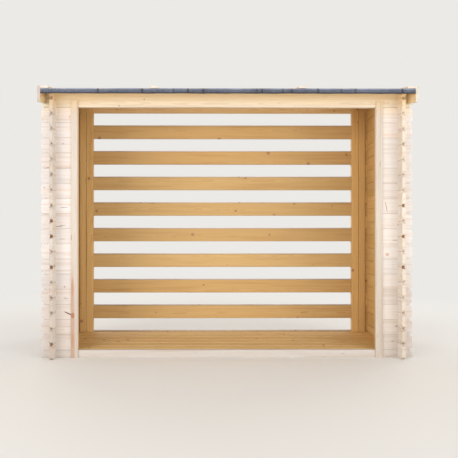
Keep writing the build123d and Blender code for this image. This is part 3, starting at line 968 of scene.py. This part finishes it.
ROOF_RUN = (ROOF_REAR_Y - ROOF_FRONT_Y) / math.cos(ROOF_ANGLE)
felt_course("roof_felt_front_course", -1, FRONT_CREASES_X, FELT_FRONT_REACH, False)
felt_course("roof_felt_rear_course", 1, REAR_CREASES_X,
            ROOF_RUN - FELT_FRONT_REACH + FELT_LAP, True)


# Radius, height and swelling of each ring, from the middle out, then down into the wood
SCREW_HEAD = ((0.0010, -0.0001, 0.0), (0.0016, 0.0, 0.16), (0.0018, 0.0007, 0.16),
              (0.0041, 0.0007, 0.0), (0.0044, 0.0003, 0.0), (0.0030, -0.0020, 0.0))
CLOUT_HEAD = ((0.0020, 0.0009, 0.0), (0.0038, 0.0007, 0.0), (0.0041, 0.0003, 0.0),
              (0.0041, -0.0006, 0.0))
HEAD_SIDES = 16

# Where they sit, in metres: how far the two screws of a pair lie from their middle along x
# and along the other way, and the spacing of the nails
REAR_PAIR = (0.015, 0.024)
FLOOR_PAIR = (0.006, 0.028)
BARGE_SCREW_HEIGHT = 0.012
NAIL_SPACING = 0.139
NAIL_BELOW_FELT_TOP = 0.021
ROOF_NORMAL = (0.0, -math.sin(ROOF_ANGLE), math.cos(ROOF_ANGLE))


def heads(name, places, out, profile=SCREW_HEAD, lobes=4, material=zinc):
    """Fastener heads, one at each place, facing out, joined in one mesh.

    Each head is a profile turned about its axis: a ring for every pair of radius and
    height in the profile, whose radius swells by its third number times the cosine of
    lobes times the angle, with a point in the middle above and one below.
    """
    out = np.array(out, float)
    side = np.cross(out, (0.0, 1.0, 0.0) if abs(out[1]) < 0.9 else (1.0, 0.0, 0.0))
    side /= np.linalg.norm(side)
    other = np.cross(out, side)
    angle = np.linspace(0, 2 * math.pi, HEAD_SIDES, endpoint=False)
    ring = np.array(profile)
    radius = ring[:, :1] * (1 + ring[:, 2:] * np.cos(lobes * angle))
    head = (radius[..., None] * (np.cos(angle)[:, None] * side + np.sin(angle)[:, None] * other)
            + ring[:, 1, None, None] * out).reshape(-1, 3)
    poles = np.array([ring[0, 1] * out, ring[-1, 1] * out])
    head = np.concatenate([head, poles])
    points = places[:, None, :] + head[None]
    top_pole = len(ring) * HEAD_SIDES
    last = top_pole - HEAD_SIDES
    around = np.arange(HEAD_SIDES)
    after = (around + 1) % HEAD_SIDES
    walls = quads(len(ring), HEAD_SIDES, closed=True)
    top = np.stack([np.full(HEAD_SIDES, top_pole), after, around], axis=-1)
    bottom = np.stack([np.full(HEAD_SIDES, top_pole + 1), last + around, last + after], axis=-1)
    start = np.arange(len(places))[:, None, None] * len(head)
    four = (walls[None] + start).reshape(-1, 4)
    three = (np.concatenate([top, bottom])[None] + start).reshape(-1, 3)
    make_piece(name, points, four.tolist() + three.tolist(), material)


def on_slope(x, y, above):
    """Places on the plane `above` the underside of the roof boards."""
    x, y = np.broadcast_arrays(np.asarray(x, float), np.asarray(y, float))
    return np.stack([x, y, roof_height(y, above)], axis=-1).reshape(-1, 3)


# Five screws along each roof batten, left and right of its middle by turns
zigzag = np.array([-0.012, 0.012, -0.012, 0.012, -0.012])
heads("roof_batten_screws",
      on_slope(np.array(ROOF_BATTENS_X)[:, None] + zigzag,
               np.array([-0.49, -0.27, -0.02, 0.23, 0.445]), FELT_TOP + ROOF_BATTEN_THICKNESS),
      ROOF_NORMAL)

# Five screws along each barge board, into the edge of the outermost roof board
for side, word in ((-1, "left"), (1, "right")):
    outer_x = side * (ROOF_HALF_WIDTH + BARGE_THICKNESS)
    places = on_slope(outer_x, np.array([-0.47, -0.24, 0.0, 0.24, 0.43]), BARGE_SCREW_HEIGHT)
    heads(f"{word}_barge_screws", places, (side, 0, 0))

# Two screws through each rear batten into every plank that runs through
PLANK_MIDDLES = SILL_HEIGHT + BOARD_PITCH * (np.arange(1, 16, 2) + 0.5)
batten_x, plank_z, pair = np.meshgrid(
    [-OUTER_BATTEN_X, -INNER_BATTEN_X, INNER_BATTEN_X, OUTER_BATTEN_X], PLANK_MIDDLES, [-1, 1],
    indexing="ij")
rear_screws = np.stack([batten_x + REAR_PAIR[0] * pair, np.full_like(batten_x, BATTEN_FACE_Y),
                        plank_z - REAR_PAIR[1] * pair], axis=-1).reshape(-1, 3)
heads("rear_batten_screws", rear_screws, (0, -1, 0))

# Two screws at each bearer through every floor slat
bearer_x, slat_y, pair = np.meshgrid(BEARER_SPACING * np.arange(-2, 3),
                                     SLATS_FRONT_Y + SLAT_SPACING * (np.arange(6) + 0.5),
                                     [-1, 1], indexing="ij")
floor_screws = np.stack([bearer_x + FLOOR_PAIR[0] * pair, slat_y + FLOOR_PAIR[1] * pair,
                         np.full_like(bearer_x, BEARER_HEIGHT + SLAT_THICKNESS)],
                        axis=-1).reshape(-1, 3)
heads("floor_screws", floor_screws, (0, 0, 1))

# Nails through the turned-down felt into the ends of the roof boards
for word, facing, eave_y in (("front", -1, ROOF_FRONT_Y), ("rear", 1, ROOF_REAR_Y)):
    nail_x = NAIL_SPACING * np.arange(-10, 11) + 0.01 * np.sin(np.arange(21) * 2.0)
    nail_y = eave_y - facing * 0.0020
    places = np.stack([nail_x, np.full(len(nail_x), nail_y),
                       np.full(len(nail_x), roof_height(eave_y, FELT_TOP)
                               - NAIL_BELOW_FELT_TOP)], axis=-1)
    heads(f"{word}_felt_nails", places, (0, facing, 0), CLOUT_HEAD, 1,
          galvanised)


BACKDROP = "eceae6"
FLOOR_REACH = 40.0


def seen_directly(tree):
    """1 for the rays that show a surface as it is: from the camera, mirrored or passed on."""
    rays = add_node(tree, "ShaderNodeLightPath").outputs
    return maths(tree, "MAXIMUM", rays[0], maths(tree, "MAXIMUM", rays[3], rays[6]))


def studio_floor():
    """Matt pale floor that takes the shadow near the object and turns, further out, into
    the colour of the backdrop, so that no horizon shows."""
    material, tree, shader = new_material("studio_floor")
    output = shader.outputs[0].links[0].to_node
    dress(tree, shader, {"Base Color": "efede9", "Roughness": 0.9, "Specular IOR Level": 0.0})
    far = ease(tree, vectors(tree, "LENGTH", own_place(tree)), 1.9, 4.5)
    glow = add_node(tree, "ShaderNodeEmission", BACKDROP, 1.0)
    blend = add_node(tree, "ShaderNodeMixShader",
                     maths(tree, "MULTIPLY", far, seen_directly(tree)),
                     shader.outputs[0], glow.outputs[0])
    put(tree, output.inputs[0], blend.outputs[0])
    return material


corners = [(x * FLOOR_REACH, y * FLOOR_REACH, 0) for x, y in ((-1, -1), (1, -1), (1, 1), (-1, 1))]
floor = mesh_object("studio_floor", corners, [(0, 1, 2, 3)], studio_floor())

# Camera: the photograph's lens, place and framing
camera = bpy.data.cameras.new("photo_camera")
camera.sensor_width = SENSOR
camera.lens = SENSOR * LENS_PIXELS / PHOTO_SIZE
camera.shift_x = (PHOTO_SIZE / 2 - AXIS_PIXEL_X) / PHOTO_SIZE
camera.shift_y = (HORIZON_PIXEL_Y - PHOTO_SIZE / 2) / PHOTO_SIZE
camera_object = link_new("photo_camera", camera)
camera_object.location = CAMERA_PLACE
camera_object.rotation_euler = (math.radians(90), 0, CAMERA_YAW)
bpy.context.scene.camera = camera_object


def soft_lamp(name, place, target, width, height, power, colour):
    """A rectangular area lamp that looks at target; metres and watts."""
    lamp = bpy.data.lights.new(name, "AREA")
    lamp.shape = "RECTANGLE"
    lamp.size = width
    lamp.size_y = height
    lamp.energy = power
    lamp.color = linear(colour)[:3]
    holder = link_new(name, lamp)
    holder.location = place
    towards = np.array(target, float) - np.array(place, float)
    flat_run = math.hypot(towards[0], towards[1])
    holder.rotation_euler = (math.atan2(flat_run, -towards[2]), 0,
                             math.atan2(-towards[0], towards[1]))
    holder.visible_camera = False


soft_lamp("key", (-4.9, -5.6, 1.9), (0, 0, 1.2), 4.4, 2.6, 215, "fffaf4")
soft_lamp("fill", (5.6, -5.6, 1.9), (0, 0, 1.2), 4.0, 2.6, 180, "fbfaf9")
soft_lamp("bounce", (0.8, -6.2, 0.25), (0, 0.3, 2.1), 5.0, 0.8, 95, "fff8ee")
soft_lamp("rear_left", (-4.4, 6.0, 2.8), (0, 0, 1.1), 4.0, 3.0, 125, "fffaf4")
soft_lamp("rear_right", (5.4, 4.6, 2.8), (0, 0, 1.1), 4.0, 3.0, 130, "fffaf4")

world = bpy.data.worlds.new("studio")
bpy.context.scene.world = world
world.use_nodes = True
sky = world.node_tree
sky.nodes.clear()
ambient = add_node(sky, "ShaderNodeBackground", "fbfaf9", 0.70).outputs[0]
backdrop = add_node(sky, "ShaderNodeBackground", BACKDROP, 1.0).outputs[0]
choice = add_node(sky, "ShaderNodeMixShader", seen_directly(sky), ambient, backdrop)
add_node(sky, "ShaderNodeOutputWorld", choice.outputs[0])
bpy.context.scene.view_settings.view_transform = "Standard"
